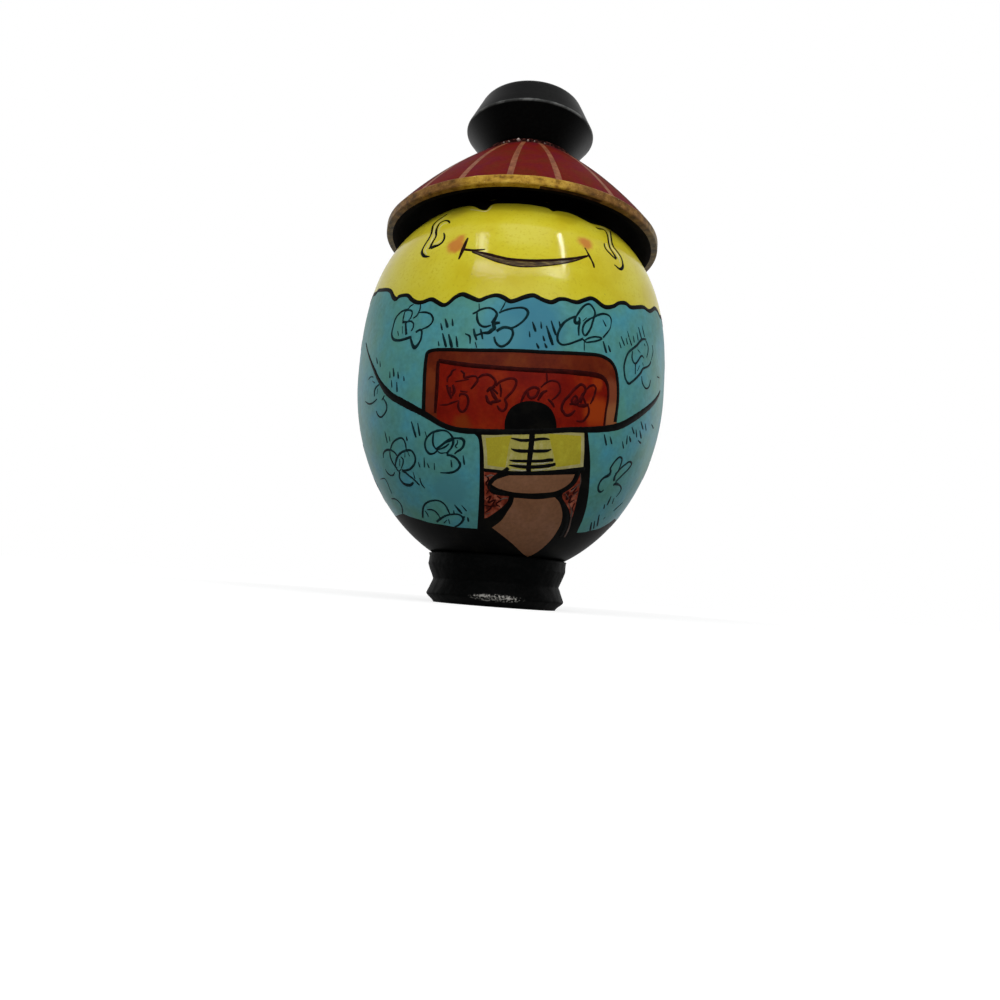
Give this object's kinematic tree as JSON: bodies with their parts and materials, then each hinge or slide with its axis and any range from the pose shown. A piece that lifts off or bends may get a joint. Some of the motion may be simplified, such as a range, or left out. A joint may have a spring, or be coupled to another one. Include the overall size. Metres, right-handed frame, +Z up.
{
  "type": "painted wooden egg figure",
  "caption": "Turned and painted wooden egg figure with a hollow conical hat and a black knob, standing upright on a turned black foot with a flat underside.",
  "frame": {"origin": "middle of the foot's flat underside", "axes": "+Z up along the turning axis from the foot to the knob; -Y towards the painted face, +X to the viewer's right"},
  "size_m": [0.045, 0.045, 0.0771],
  "materials": {
    "egg_paint": "painted by hand in blue, yellow, red and black, under glossy clear lacquer",
    "foot_paint": "matte black paint on coarse turned wood",
    "hat_paint": "satin maroon paint with tan stripes and a gold rim, black underneath",
    "knob_paint": "satin black paint",
    "dowel_wood": "plain wood, hidden inside"
  },
  "bodies": {
    "root": {"egg_body": "egg_paint", "foot": "foot_paint", "hat": "hat_paint", "knob": "knob_paint", "foot_dowel": "dowel_wood", "hat_dowel": "dowel_wood"}
  },
  "joints": []
}
